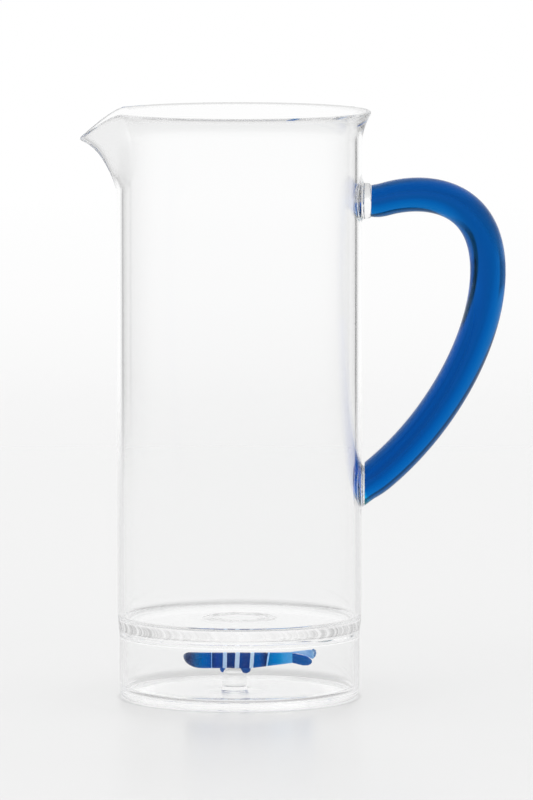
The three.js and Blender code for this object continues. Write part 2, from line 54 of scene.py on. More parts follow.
JUG_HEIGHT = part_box("spout_rim")[1].z / MM
FLOOR_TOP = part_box("vessel_wall")[0].z / MM
FLOOR_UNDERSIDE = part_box("vessel_floor")[0].z / MM
SKIRT_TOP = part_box("weld_ring")[0].z / MM
FOOT_RADIUS = base_corner.x / MM
BASE_THICKNESS = base_corner.z / MM
UPPER_JOINT = (collar_low.z + collar_high.z) / 2 / MM
COLLAR_FACE = collar_high.x / MM
LOWER_FACE = seat_high.x / MM
LOWER_JOINT = (seat_low.z + seat_high.z) / 2 / MM

# The tube, its flared rim and the pulled spout
TUBE_RADIUS = 52.5
TUBE_WALL = 2.7
LIP_WALL = 1.8
LIP_POWER = 6
RIM_FLARE = 3.8
FLARE_HEIGHT = 13.8
FLARE_POWER = 2
SPOUT_PULL = 12.5
SPOUT_DROP = 12.4
SPOUT_DROP_POWER = 1.55
SPOUT_HALF_ANGLE = math.radians(28)
SPOUT_LENGTH = 22.2
SPOUT_NARROWING = 12.1
SPOUT_TIP_ROUNDING = 1.6
SPOUT_SWEEP_SHARE = 0.74
SPOUT_SWEEP_POWER = 1.45
SPOUT_LIP_POWER = 8

# The floor, the weld under it and the foot
FLOOR_FILLET = 2
MARK_OUTER = 16.7
MARK_INNER = 8.5
MARK_HEIGHT = 0.45
MARK_RIDGES = 3
FOOT_WALL = 2.4
WELD_FILLET = 4.2
BASE_FILLET = 3.2
BASE_CORNER = 2.8

# How far the rows of points keep from the corners of the profile, so that the straight
# stretches stay straight, and where rows cross the flat and upright ones
HEEL_MARGIN = 2
SKIRT_MARGIN = 3
WELD_MARGIN = 1.5
FILLET_MARGIN = 3
TUBE_MARGIN = 8
RIM_MARGIN = 4
SKIRT_ROWS = (8, 15)
FLOOR_ROWS = (40, 30, 20)
FLOOR_MIDDLE_ROW = 5
CAVITY_ROWS = (20, 15, 10)
CAVITY_FLAT_ROWS = (0, 15, 30)
CORNER_REACH = 0.12

# The band round the weld that the flame and the roller left uneven: where it lies, its
# waves and the slower drift of its skin
BAND_UNDER = 2
BAND_OVER = 2.5
BAND_FADE = 2
BAND_INSIDE = 40
WELD_EASE = 1
WAVES_ROUND = 44
WAVE_HEIGHT = 0.02
WAVE_WANDER = 6
WANDERS_ROUND = 3
DRIFT_HEIGHT = 0.1
DRIFT_LENGTH = 18
DRIFT_RISE = 2.4

# The closing ring's own unevenness
MARK_MARGIN = 1
MARK_UNDER = 0.1
MARK_OVER = 2
MARK_DRIFT_SHARE = 0.9
MARK_DRIFT_LENGTH = 4
MARK_DRIFT_SLICE = 8

# The handle and the clear joints that carry it
HANDLE_RADIUS = 7.8
HANDLE_STAND_OFF = 53.95
HANDLE_TAPER = 0.7
HANDLE_TAPER_LENGTH = 120
UPPER_NECK = 0.3
UPPER_NECK_LENGTH = 4
LOWER_NECK = 0.6
LOWER_NECK_LENGTH = 8
WIDEST_DEPTH = 30.2
JOINT_SPAN = 122.3
STUB_LENGTH = 6
STUB_RISE = 0.7
ARCH_START_ANGLE = math.radians(16.1)
ARCH_START_SHARE = 0.425
ARCH_END_SHARE = 1.066
GRIP_START_SHARE = 0.335
GRIP_END_SHARE = 0.705
GRIP_END_ANGLE = math.radians(36.1)
UPPER_PAD_RADIUS = 7.7
UPPER_SPREAD = 3.8
UPPER_COVE = 1.4
UPPER_WAIST = 2.2
UPPER_SHOULDER = 2.8
UPPER_EDGE = 0.4
LOWER_PAD_WIDTH = 7.5
LOWER_PAD_HEIGHT = 8.7
LOWER_SPREAD = 1.6
LOWER_COVE = 1.0
LOWER_EDGE = 0.1
OVERLAP = 0.02

# The figure and its stem
FIGURE_START = -24.2
FIGURE_HEIGHT = 15.45
FIGURE_RADIUS = 3.55
HEAD_TOP = 3.8
HEAD_UNDER = 8
HEAD_TIP_RISE = 1.8
TAPER_START = 29.5
NECK_START = 46.9
NECK_RADIUS = 2.4
NECK_RISE = 1.15
STEM_RADIUS = 5.15
STEM_SHOULDER = 1.8
STEM_WRAP = 0.4
STEM_FLARE = 0.9
STEM_FOOT = 2
STEM_MARGIN = 1
GROOVE_DEPTH = 0.25
GROOVE_STEEPNESS = 3
BODY_MARGIN = 0.5
TRAIL_ROOT = 0.3
TRAIL_BULGE = 0.42
LARGE_BEAD_FLATNESS = 0.66
LOWER_LOBE_LENGTH = 8.5
LOWER_LOBE_RADIUS = 2.2
LOWER_LOBE_DROP = 1.8
UPPER_LOBE_LENGTH = 9.2
UPPER_LOBE_RADIUS = 2.1
UPPER_LOBE_RISE = 2.6

# The curled thread at the tail's tip, and how far its bend reaches past its ends
CURL_RADIUS = 0.5
CURL_INSET = 1.1
CURL_END = 0.3
CURL_TOP_REACH = 0.5
CURL_TOP_DROP = 0.6
CURL_BOTTOM_REACH = 0.4
CURL_BOTTOM_RISE = 1.4

# White trails: distance of the middle from the head's tip, width and slant
TRAILS = [
    (12.2, 0.45, 0.0), (17.9, 2.0, 0.2), (23.2, 2.3, 0.65), (29.5, 1.95, 0.85), (36.3, 0.85, 1.2),
]

# Lobes of the tail: share of the length, then shares of the radius and the drop for the
# lower one, and of the half width, the half height and the rise for the upper one
LOWER_LOBE = [
    (0, 0.95, 0.15), (0.12, 1, 0.25), (0.35, 1.02, 0.5), (0.58, 1.02, 0.72),
    (0.78, 0.85, 0.9), (0.92, 0.55, 1), (1, 0.2, 1),
]
UPPER_LOBE = [
    (0, 0.55, 0.2, 0.9), (0.25, 0.7, 0.3, 0.9), (0.5, 0.8, 0.5, 0.85),
    (0.75, 0.75, 0.8, 0.7), (0.93, 0.6, 1, 0.55), (1, 0.4, 0.8, 0.5),
]

FIGURE_SIDES = 64
RIM_ROWS = 30
LIP_STEPS = 10
MERGE_DISTANCE = 0.002

# How the turned rim is matched with its sections: how far past the spout's angle it is
# reshaped, and how finely places and angles are told apart
SPOUT_MARGIN_SHARE = 1.6
SECTION_TOLERANCE = 0.01
SLOPE_STEP = 0.027
PLACES_PER_MM = 100
ANGLES_PER_RADIAN = 1000

TUBE_INNER = TUBE_RADIUS - TUBE_WALL
FOOT_INNER = FOOT_RADIUS - FOOT_WALL
TUBE_BOTTOM = FLOOR_TOP + FLOOR_FILLET
BAND_LOW = FLOOR_UNDERSIDE - BAND_UNDER
BAND_HIGH = FLOOR_TOP + BAND_OVER
RIM_SLOPE = math.atan(FLARE_POWER * RIM_FLARE / FLARE_HEIGHT)
RIM_EDGE = JUG_HEIGHT - LIP_WALL / 2 * (1 + math.sin(RIM_SLOPE))
RIM_RADIUS = TUBE_RADIUS + RIM_FLARE
SPOUT_REACH = RIM_RADIUS + SPOUT_PULL
STRAIGHT_TOP = RIM_EDGE - SPOUT_DROP - SPOUT_LENGTH


# Small helpers for curves and numbers

def clamp(value, low=0.0, high=1.0):
    return max(low, min(high, value))


def smooth(value):
    value = clamp(value)
    return value * value * (3 - 2 * value)


def arc(centre_x, centre_y, radius, from_degrees, to_degrees, steps):
    points = []
    for i in range(steps + 1):
        angle = math.radians(from_degrees + (to_degrees - from_degrees) * i / steps)
        points.append((centre_x + radius * math.cos(angle), centre_y + radius * math.sin(angle)))
    return points


def spread(start, end, steps):
    """Heights or radii at even steps between two values, both ends included."""
    return [start + (end - start) * i / steps for i in range(steps + 1)]


def cove(radius, spread_out, height, rise, steps):
    """Hollow curve from a wide foot up into an upright side."""
    points = []
    for i in range(steps + 1):
        turn = math.pi / 2 * i / steps
        points.append((radius + spread_out * (1 - math.sin(turn)), height + rise * (1 - math.cos(turn))))
    return points


def hold_corners(profile):
    """Adds a point near each end of the straight runs, so that smooth shading keeps them straight."""
    held = [profile[0]]
    for (r0, h0), (r1, h1) in zip(profile, profile[1:]):
        share = CORNER_REACH / math.hypot(r1 - r0, h1 - h0)
        if share < 0.2:
            held.append((r0 + (r1 - r0) * share, h0 + (h1 - h0) * share))
            held.append((r1 - (r1 - r0) * share, h1 - (h1 - h0) * share))
        held.append((r1, h1))
    return held


# Helpers that model by hand: a profile drawn point by point, turned or swept

def start_fresh():
    if bpy.context.mode != "OBJECT":
        bpy.ops.object.mode_set(mode="OBJECT")
    bpy.ops.object.select_all(action="DESELECT")


def finish_piece(name, smooth_degrees=40):
    """Leaves edit mode, names the piece and shades it smooth where it is round."""
    bpy.ops.object.mode_set(mode="OBJECT")
    piece = bpy.context.object
    piece.name = name
    piece.data.name = name
    bpy.ops.object.transform_apply(location=True, rotation=True, scale=True)
    bpy.ops.object.shade_smooth_by_angle(angle=math.radians(smooth_degrees))
    return piece


def turn_profile(profile, centre=(0, 0), spans=((360, 300),)):
    """Draws a profile of (radius, height) from a single point and spins it round an upright axis.

    Each span is an angle in degrees and its number of columns.
    """
    start_fresh()
    first = Vector((centre[0] + profile[0][0], centre[1], profile[0][1])) * MM
    bpy.ops.mesh.primitive_plane_add(size=MM, location=first)
    bpy.ops.object.mode_set(mode="EDIT")
    bpy.ops.mesh.merge(type="CENTER")
    for (r0, h0), (r1, h1) in zip(profile, profile[1:]):
        step = Vector((r1 - r0, 0, h1 - h0)) * MM
        bpy.ops.mesh.extrude_vertices_move(TRANSFORM_OT_translate={"value": step})
    bpy.ops.mesh.select_all(action="SELECT")
    axis_point = Vector((centre[0], centre[1], 0)) * MM
    for degrees, columns in spans:
        bpy.ops.mesh.spin(
            steps=columns, angle=math.radians(degrees), center=axis_point, axis=(0, 0, 1),
        )
    bpy.ops.mesh.select_all(action="SELECT")
    bpy.ops.mesh.remove_doubles(threshold=MERGE_DISTANCE * MM)
    bpy.ops.mesh.normals_make_consistent(inside=False)


def join_pieces(target, other):
    start_fresh()
    other.select_set(True)
    target.select_set(True)
    bpy.context.view_layer.objects.active = target
    bpy.ops.object.join()
    return target


def fuse(target, tool):
    """Joins a tool to the target and removes the tool."""
    start_fresh()
    target.select_set(True)
    bpy.context.view_layer.objects.active = target
    modifier = target.modifiers.new("fuse", "BOOLEAN")
    modifier.operation = "UNION"
    modifier.solver = "MANIFOLD"
    modifier.object = tool
    bpy.ops.object.modifier_apply(modifier=modifier.name)
    bpy.data.objects.remove(tool)


# The clear vessel

def flare_radius(height):
    climb = clamp((height - RIM_EDGE + FLARE_HEIGHT) / FLARE_HEIGHT)
    return TUBE_RADIUS + RIM_FLARE * climb ** FLARE_POWER


def eased_angle(angle):
    return math.hypot(angle, SPOUT_TIP_ROUNDING / SPOUT_REACH)


def lip_radius(angle):
    tangent_angle = math.acos(RIM_RADIUS / SPOUT_REACH)
    return RIM_RADIUS / math.cos(max(0, tangent_angle - eased_angle(angle)))


def lip_height(angle):
    left = max(0, 1 - eased_angle(angle) / SPOUT_HALF_ANGLE)
    return RIM_EDGE - SPOUT_DROP * left ** SPOUT_DROP_POWER


def rim_section(angle):
    """Outside, lip and inside of the flared part, as (radius, height), at an angle from the spout."""
    top = lip_height(angle)
    pull = lip_radius(angle) - flare_radius(top)
    off_centre = min(1, abs(angle) / SPOUT_HALF_ANGLE)
    root = STRAIGHT_TOP + SPOUT_NARROWING * off_centre ** 2

    def outer_radius(height):
        climb = clamp((height - root) / (top - root))
        sweep = SPOUT_SWEEP_SHARE * climb ** SPOUT_SWEEP_POWER
        lip = (1 - SPOUT_SWEEP_SHARE) * climb ** SPOUT_LIP_POWER
        return flare_radius(height) + pull * (sweep + lip)

    step = SLOPE_STEP
    outside = []
    inside = []
    for height in spread(STRAIGHT_TOP, top, RIM_ROWS):
        lean = math.atan((outer_radius(height) - outer_radius(height - step)) / step)
        radius = outer_radius(height)
        wall = TUBE_WALL + (LIP_WALL - TUBE_WALL) * clamp((height - root) / (top - root)) ** LIP_POWER
        outside.append((radius, height))
        inside.append((radius - wall * math.cos(lean), height + wall * math.sin(lean)))
    middle = ((outside[-1][0] + inside[-1][0]) / 2, (outside[-1][1] + inside[-1][1]) / 2)
    lean = math.degrees(lean)
    lip = arc(*middle, LIP_WALL / 2, -lean, 180 - lean, LIP_STEPS)[1:-1]
    return outside + lip + inside[::-1]


def mark_relief(radius):
    """Low uneven ridges of the ring where the floor was closed in the flame."""
    across = (radius - MARK_INNER) / (MARK_OUTER - MARK_INNER)
    if not 0 < across < 1:
        return 0
    ridge = 0.5 - 0.5 * math.cos(2 * math.pi * MARK_RIDGES * across)
    return MARK_HEIGHT * math.sin(math.pi * across) * ridge


def weld_radius(height):
    """Outer skin where the tube was drawn in and the foot welded on."""
    climb = smooth((height - SKIRT_TOP) / (TUBE_BOTTOM + WELD_EASE - SKIRT_TOP))
    return FOOT_RADIUS + (TUBE_RADIUS - FOOT_RADIUS) * climb


def outer_profile():
    """Outside of the foot, then the tube, the rim and the inside down to the floor's middle."""
    profile = [(0, 0), (FOOT_RADIUS - BASE_CORNER - HEEL_MARGIN, 0)]
    profile += arc(FOOT_RADIUS - BASE_CORNER, BASE_CORNER, BASE_CORNER, -90, 0, 8)
    profile += [(FOOT_RADIUS, height) for height in (*SKIRT_ROWS, SKIRT_TOP - SKIRT_MARGIN)]
    for height in spread(SKIRT_TOP - WELD_MARGIN, TUBE_BOTTOM + FILLET_MARGIN, 22):
        profile.append((weld_radius(height), height))
    straight_end = STRAIGHT_TOP - RIM_MARGIN
    profile += [(TUBE_RADIUS, height) for height in spread(TUBE_BOTTOM + TUBE_MARGIN, straight_end, 16)]
    outside = hold_corners(profile)
    rim = rim_section(math.pi)
    profile = [(TUBE_INNER, height) for height in spread(straight_end, TUBE_BOTTOM + FILLET_MARGIN, 16)]
    profile += arc(TUBE_INNER - FLOOR_FILLET, TUBE_BOTTOM, FLOOR_FILLET, 0, -90, 10)
    profile += [(radius, FLOOR_TOP) for radius in FLOOR_ROWS]
    for radius in spread(MARK_OUTER, MARK_INNER, 24):
        profile.append((radius, FLOOR_TOP + mark_relief(radius)))
    profile += [(FLOOR_MIDDLE_ROW, FLOOR_TOP), (0, FLOOR_TOP)]
    return outside + rim + hold_corners(profile), rim


def cavity_profile():
    """The sealed space in the foot, from under the floor down to the base."""
    fillet = WELD_FILLET
    profile = [(radius, FLOOR_UNDERSIDE) for radius in CAVITY_FLAT_ROWS]
    profile += arc(FOOT_INNER - fillet, FLOOR_UNDERSIDE - fillet, fillet, 90, 0, 14)
    profile += [(FOOT_INNER, height) for height in CAVITY_ROWS]
    fillet = BASE_FILLET
    profile += arc(FOOT_INNER - fillet, BASE_THICKNESS + fillet, fillet, 0, -90, 10)
    profile += [(radius, BASE_THICKNESS) for radius in reversed(CAVITY_FLAT_ROWS)]
    return hold_corners(profile)


def nearest_place(places, radius, height):
    """Index of the section's point that lies where this point does."""
    r, h = round(radius * PLACES_PER_MM), round(height * PLACES_PER_MM)
    for dr in (0, -1, 1):
        for dh in (0, -1, 1):
            if (r + dr, h + dh) in places:
                return places[(r + dr, h + dh)]
    return None


def pull_spout(piece, rim):
    """Moves the turned rim's points to the section that the spout has at their angle."""
    places = {(round(r * PLACES_PER_MM), round(h * PLACES_PER_MM)): i for i, (r, h) in enumerate(rim)}
    sections = {}
    for vertex in piece.data.vertices:
        x, y, z = vertex.co / MM
        if z < STRAIGHT_TOP - SECTION_TOLERANCE:
            continue
        angle = math.atan2(y, -x)
        if abs(angle) > SPOUT_HALF_ANGLE * SPOUT_MARGIN_SHARE:
            continue
        index = nearest_place(places, math.hypot(x, y), z)
        if index is None:
            continue
        key = round(angle * ANGLES_PER_RADIAN)
        if key not in sections:
            sections[key] = rim_section(angle)
        radius, height = sections[key][index]
        vertex.co = Vector((-radius * math.cos(angle), radius * math.sin(angle), height)) * MM


def ripple_weld(piece):
    """Uneven marks that the flame and the roller left round the weld and on the closing ring."""
    for vertex in piece.data.vertices:
        x, y, z = vertex.co / MM
        radius = math.hypot(x, y)
        angle = math.atan2(y, x)
        if radius > BAND_INSIDE and BAND_LOW < z < BAND_HIGH:
            weight = smooth((z - BAND_LOW) / BAND_FADE) * smooth((BAND_HIGH - z) / BAND_FADE)
            wander = noise.noise(Vector((math.cos(angle), math.sin(angle), 0.0)) * WANDERS_ROUND)
            wave = math.sin(WAVES_ROUND * angle + WAVE_WANDER * wander + z)
            drift = noise.noise(Vector((x / DRIFT_LENGTH, y / DRIFT_LENGTH, z / DRIFT_RISE)))
            lift = weight * (WAVE_HEIGHT * wave + DRIFT_HEIGHT * drift)
            vertex.co += Vector((x / radius, y / radius, 0)) * lift * MM
        on_mark = MARK_INNER - MARK_MARGIN < radius < MARK_OUTER + MARK_MARGIN
        if on_mark and FLOOR_TOP - MARK_UNDER < z < FLOOR_TOP + MARK_OVER:
            drift = noise.noise(Vector((x, y, MARK_DRIFT_SLICE)) / MARK_DRIFT_LENGTH)
            vertex.co.z += (z - FLOOR_TOP) * MARK_DRIFT_SHARE * drift * MM


def joint_boss(height, half_width, half_height, spread_out, cove_rise, stub, face):
    """Clear glass that flares out on the wall round a stub with a flat face for the rod."""
    root = TUBE_RADIUS - TUBE_WALL / 2
    profile = [(0, root), (half_width + spread_out, root)]
    profile += cove(half_width, spread_out, TUBE_RADIUS, cove_rise, 16)
    profile += [(half_width * share, out) for share, out in stub]
    profile += [(0, face)]
    turn_profile(hold_corners(profile), spans=((360, 120),))
    piece = finish_piece("joint_boss")
    stretch = half_height / half_width
    for vertex in piece.data.vertices:
        across, away, out = vertex.co / MM
        curve = TUBE_RADIUS - math.sqrt(TUBE_RADIUS ** 2 - away ** 2)
        reach = clamp((face - out) / (face - TUBE_RADIUS))
        vertex.co = Vector((out - curve * reach, away, height + across * stretch)) * MM
    piece.data.flip_normals()
    return piece


def stem_solid():
    """Clear post with a flared foot, rising from inside the base to the figure's underside."""
    low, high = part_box("figure_stem")
    centre = (low.x + high.x) / 2 / MM
    shoulder = STEM_SHOULDER
    top = FIGURE_HEIGHT - FIGURE_RADIUS + STEM_WRAP
    profile = [(0, BASE_THICKNESS / 2), (STEM_RADIUS + STEM_FLARE, BASE_THICKNESS / 2)]
    profile += cove(STEM_RADIUS, STEM_FLARE, BASE_THICKNESS, STEM_FOOT, 10)
    straight_start = BASE_THICKNESS + STEM_FOOT + STEM_MARGIN
    straight_end = top - shoulder - STEM_MARGIN
    profile += [(STEM_RADIUS, height) for height in spread(straight_start, straight_end, 6)]
    profile += arc(STEM_RADIUS - shoulder, top - shoulder, shoulder, 0, 90, 10)
    profile += [(0, top)]
    turn_profile(hold_corners(profile), centre=(centre, 0), spans=((360, 96),))
    return finish_piece("stem")


def build_vessel():
    """The vessel as one glass skin round its sealed space, with more columns round the spout."""
    profile, rim = outer_profile()
    turn_profile(profile, spans=((135, 110), (90, 120), (135, 110)))
    skin = finish_piece("vessel")
    pull_spout(skin, rim)
    turn_profile(cavity_profile(), spans=((360, 300),))
    bpy.ops.mesh.flip_normals()
    cavity = finish_piece("cavity")
    vessel = join_pieces(skin, cavity)
    ripple_weld(vessel)
    upper_stub = (
        (1.0, TUBE_RADIUS + UPPER_WAIST), (0.99, TUBE_RADIUS + UPPER_SHOULDER),
        (0.95, COLLAR_FACE - UPPER_EDGE), (0.9, COLLAR_FACE),
    )
    lower_stub = ((0.995, LOWER_FACE - LOWER_EDGE), (0.98, LOWER_FACE))
    fuse(vessel, joint_boss(
        UPPER_JOINT, UPPER_PAD_RADIUS, UPPER_PAD_RADIUS, UPPER_SPREAD, UPPER_COVE, upper_stub, COLLAR_FACE,
    ))
    fuse(vessel, joint_boss(
        LOWER_JOINT, LOWER_PAD_WIDTH, LOWER_PAD_HEIGHT, LOWER_SPREAD, LOWER_COVE, lower_stub, LOWER_FACE,
    ))
    fuse(vessel, stem_solid())
    start_fresh()
    vessel.select_set(True)
    bpy.context.view_layer.objects.active = vessel
    bpy.ops.object.shade_smooth_by_angle(angle=math.radians(35))
    vessel.name = "clear_vessel"
    return vessel


# The handle

def along_bend(start, leave, arrive, end, steps):
    """Points of a smooth bend between two places with their pulls, without the first one."""
    points = []
    for i in range(1, steps + 1):
        t = i / steps
        ends = start * (1 - t) ** 3 + end * t ** 3
        pulls = leave * 3 * (1 - t) ** 2 * t + arrive * 3 * (1 - t) * t ** 2
        points.append(ends + pulls)
    return points


def rod_path():
    """Centre line of the rod, and the straight run on past its lower end that is cut off."""
    start = Vector((COLLAR_FACE, 0, UPPER_JOINT))
    stub = Vector((COLLAR_FACE + STUB_LENGTH, 0, UPPER_JOINT + STUB_RISE))
    widest = Vector((TUBE_RADIUS + HANDLE_STAND_OFF, 0, UPPER_JOINT - WIDEST_DEPTH))
    end = Vector((LOWER_FACE, 0, UPPER_JOINT - JOINT_SPAN))
    forward = Vector((math.cos(ARCH_START_ANGLE), 0, math.sin(ARCH_START_ANGLE)))
    outward = Vector((math.cos(GRIP_END_ANGLE), 0, math.sin(GRIP_END_ANGLE)))
    down = Vector((0, 0, -1))
    elbow = stub - forward * STUB_LENGTH / 2
    path = [start + Vector((OVERLAP, 0, 0))]
    path += along_bend(start, start + (elbow - start) * 2 / 3, stub + (elbow - stub) * 2 / 3, stub, 10)
    path += along_bend(
        stub, stub + forward * (widest.x - stub.x) * ARCH_START_SHARE,
        widest - down * (stub.z - widest.z) * ARCH_END_SHARE, widest, 70,
    )
    path += along_bend(
        widest, widest + down * (widest.z - end.z) * GRIP_START_SHARE,
        end + outward * (widest.x - end.x) * GRIP_END_SHARE, end, 90,
    )
    return path, [end - outward * HANDLE_RADIUS * share for share in (0.5, 1, 2)]


def necking(depth, length, distance):
    """What a neck takes off the radius at a distance from its end of the rod."""
    return depth * (1 - clamp(distance / length)) ** 2


def rod_radius(distance, length):
    return (
        HANDLE_RADIUS
        - necking(HANDLE_TAPER, HANDLE_TAPER_LENGTH, distance)
        - necking(UPPER_NECK, UPPER_NECK_LENGTH, distance)
        - necking(LOWER_NECK, LOWER_NECK_LENGTH, length - distance)
    )


def build_handle():
    start_fresh()
    bpy.ops.curve.primitive_nurbs_path_add(location=(0, 0, 0))
    rod = bpy.context.object
    curve = rod.data
    curve.bevel_depth = HANDLE_RADIUS * MM
    curve.bevel_resolution = 30
    curve.use_fill_caps = True
    spline = curve.splines[0]
    spline.type = "POLY"
    path, past = rod_path()
    spline.points.add(len(path) + len(past) - len(spline.points))
    distances = [0.0]
    for near, far in zip(path, path[1:]):
        distances.append(distances[-1] + (far - near).length)
    for point, place in zip(spline.points, path + past):
        point.co = (*(place * MM), 1)
    for point, distance in zip(spline.points, distances):
        point.radius = rod_radius(distance, distances[-1]) / HANDLE_RADIUS
    for point in list(spline.points)[len(path):]:
        point.radius = 1 - LOWER_NECK / HANDLE_RADIUS
    bpy.ops.object.convert(target="MESH")
    bpy.ops.object.mode_set(mode="EDIT")
    bpy.ops.mesh.select_all(action="SELECT")
    bpy.ops.mesh.remove_doubles(threshold=MERGE_DISTANCE * MM)
    bpy.ops.mesh.bisect(
        plane_co=((LOWER_FACE - OVERLAP) * MM, 0, 0), plane_no=(1, 0, 0),
        use_fill=True, clear_inner=True,
    )
    bpy.ops.mesh.select_all(action="SELECT")
    bpy.ops.mesh.normals_make_consistent(inside=False)
    return finish_piece("blue_handle")


# The figure

def lofted(name, sections, slant=0):
    """Oval sections along X: (x, height, half width, half height), extruded one from the next."""
    start_fresh()
    x, height, half_width, half_height = sections[0]
    bpy.ops.mesh.primitive_circle_add(
        vertices=FIGURE_SIDES, radius=MM, fill_type="NGON", rotation=(0, math.pi / 2, 0),
        location=(0, 0, 0),
    )
    bpy.ops.object.transform_apply(location=True, rotation=True, scale=True)
    bpy.ops.object.mode_set(mode="EDIT")
    bpy.ops.mesh.select_all(action="SELECT")
    bpy.ops.transform.resize(value=(1, half_width, half_height), center_override=(0, 0, 0))
    bpy.ops.transform.translate(value=Vector((x, 0, height)) * MM)
    now = sections[0]
    for section in sections[1:]:
        step = Vector((section[0] - now[0], 0, section[1] - now[1])) * MM
        bpy.ops.mesh.extrude_region_move(TRANSFORM_OT_translate={"value": step})
        bpy.ops.transform.resize(
            value=(1, section[2] / now[2], section[3] / now[3]),
            center_override=Vector((section[0], 0, section[1])) * MM,
        )
        now = section
    bpy.ops.mesh.select_all(action="SELECT")
    bpy.ops.mesh.normals_make_consistent(inside=False)
    piece = finish_piece(name, 60)
    if slant:
        for vertex in piece.data.vertices:
            vertex.co.x += slant * (vertex.co.z - FIGURE_HEIGHT * MM) / (2 * FIGURE_RADIUS)
    return piece


def along_taper(distance):
    return clamp((distance - TAPER_START) / (NECK_START - TAPER_START))


def figure_radius(distance):
    return FIGURE_RADIUS + (NECK_RADIUS - FIGURE_RADIUS) * along_taper(distance)


def figure_section(distance, growth=0.0):
    radius = figure_radius(distance) + growth
    height = FIGURE_HEIGHT + NECK_RISE * along_taper(distance)
    return (FIGURE_START + distance, height, radius, radius)


def quarter_round(along):
    return math.sqrt(1 - (1 - min(1, along)) ** 2)


def head_section(distance):
    top_round = quarter_round(distance / HEAD_TOP)
    top = HEAD_TIP_RISE + (FIGURE_RADIUS - HEAD_TIP_RISE) * top_round
    under = HEAD_TIP_RISE - (FIGURE_RADIUS + HEAD_TIP_RISE) * quarter_round(distance / HEAD_UNDER)
    return (
        FIGURE_START + distance, FIGURE_HEIGHT + (top + under) / 2,
        FIGURE_RADIUS * top_round, (top - under) / 2,
    )


def build_head():
    sections = []
    for i in range(1, 25):
        sections.append(head_section(HEAD_UNDER * (1 - math.cos(math.pi / 2 * i / 24))))
    return lofted("figure_head", sections)


def build_body():
    end = TRAILS[-1][0]
    sections = [figure_section(HEAD_UNDER)]
    for distance in spread(HEAD_UNDER + BODY_MARGIN, end, 90):
        dip = 0.0
        for middle, width, _ in TRAILS:
            dip = max(dip, clamp(1 - abs(distance - middle) / (width / 2)))
        sections.append(figure_section(distance, -GROOVE_DEPTH * smooth(dip * GROOVE_STEEPNESS)))
    return lofted("figure_body", sections)


def build_trail(number, middle, width, slant):
    """A white thread wound round the body and pressed nearly flush."""
    sections = []
    for along in spread(-1, 1, 12):
        bulge = math.sqrt(max(0, 1 - along ** 2))
        sections.append(figure_section(middle + width / 2 * along, TRAIL_BULGE * bulge - TRAIL_ROOT))
    return lofted(f"white_trail_{number}", sections, slant=slant)


def build_shank():
    start = TRAILS[-1][0]
    sections = [figure_section(distance) for distance in spread(start, NECK_START, 24)]
    return lofted("tail_shank", sections)


def blend_table(table, along):
    """Values of a table of rows (place, value, value...) at a place between two of its rows."""
    for low, high in zip(table, table[1:]):
        if along <= high[0]:
            share = (along - low[0]) / (high[0] - low[0])
            share = smooth(share) * 0.5 + share * 0.5
            return [a + (b - a) * share for a, b in zip(low[1:], high[1:])]
    return list(table[-1][1:])


def build_lobes():
    neck = FIGURE_START + NECK_START
    tail = FIGURE_HEIGHT + NECK_RISE
    lower = []
    for along in spread(0, 1, 30):
        size, drop = blend_table(LOWER_LOBE, along)
        radius = LOWER_LOBE_RADIUS * size
        lower.append((neck + LOWER_LOBE_LENGTH * along, tail - LOWER_LOBE_DROP * drop, radius, radius))
    upper = []
    for along in spread(0, 1, 30):
        width, size, rise = blend_table(UPPER_LOBE, along)
        upper.append((
            neck + UPPER_LOBE_LENGTH * along, tail + UPPER_LOBE_RISE * rise,
            UPPER_LOBE_RADIUS * width, UPPER_LOBE_RADIUS * size,
        ))
    return lofted("tail_lower_lobe", lower), lofted("tail_upper_lobe", upper)


def build_curl():
    start_fresh()
    bpy.ops.curve.primitive_bezier_curve_add(location=(0, 0, 0))
    curl = bpy.context.object
    curve = curl.data
    curve.dimensions = "3D"
    curve.bevel_depth = CURL_RADIUS * MM
    curve.bevel_resolution = 8
    curve.resolution_u = 24
    curve.use_fill_caps = True
    low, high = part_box("tail_curl")
    top, bottom = high.z / MM, low.z / MM
    near, far = low.x / MM - CURL_INSET, high.x / MM - CURL_RADIUS - CURL_INSET
    first, second = curve.splines[0].bezier_points
    first.handle_left_type = first.handle_right_type = "FREE"
    second.handle_left_type = second.handle_right_type = "FREE"
    first.co = Vector((near, 0, top - CURL_RADIUS)) * MM
    first.handle_left = first.co
    first.handle_right = Vector((far + CURL_TOP_REACH, 0, top - CURL_TOP_DROP)) * MM
    second.co = Vector((near + CURL_END, 0, bottom + CURL_RADIUS)) * MM
    second.handle_right = second.co
    second.handle_left = Vector((far + CURL_BOTTOM_REACH, 0, bottom + CURL_BOTTOM_RISE)) * MM
    bpy.ops.object.convert(target="MESH")
    return finish_piece("tail_curl", 60)


def build_bead(node, flatness):
    """Drop of glass as wide as its solid, and flattened from above."""
    low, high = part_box(node)
    start_fresh()
    radius = (high.y - low.y) / 2
    middle = Vector(((low.x + high.x) / 2, 0, low.z + radius * flatness))
    bpy.ops.mesh.primitive_uv_sphere_add(segments=48, ring_count=24, radius=radius, location=middle)
    bpy.context.object.scale = (1, 1, flatness)
    bpy.ops.object.mode_set(mode="EDIT")
    return finish_piece(f"{node}_glass", 60)


# Materials

